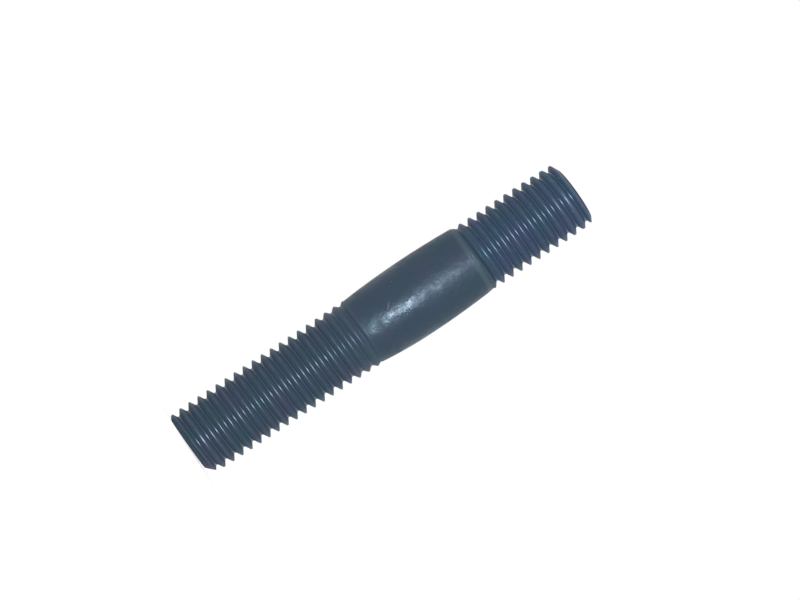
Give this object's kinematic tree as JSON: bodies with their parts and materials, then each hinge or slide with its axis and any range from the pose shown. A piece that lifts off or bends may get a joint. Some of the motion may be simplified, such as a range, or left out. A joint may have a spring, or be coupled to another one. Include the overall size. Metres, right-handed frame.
{
  "type": "double ended stud",
  "caption": "Steel rod fastener with a right-hand thread on each end, one long and one short, and a plain middle that swells like a barrel.",
  "frame": {"origin": "centre of the end face of the long threaded end, which the stud stands on", "axes": "+Z along the stud's axis, from the long threaded end to the short one; +X and +Y across it, the thread's start being towards +X"},
  "size_m": [0.0128, 0.0128, 0.075],
  "materials": {
    "steel": "blued, dark blue-black, satin"
  },
  "bodies": {
    "root": {"stud": "steel"}
  },
  "joints": []
}
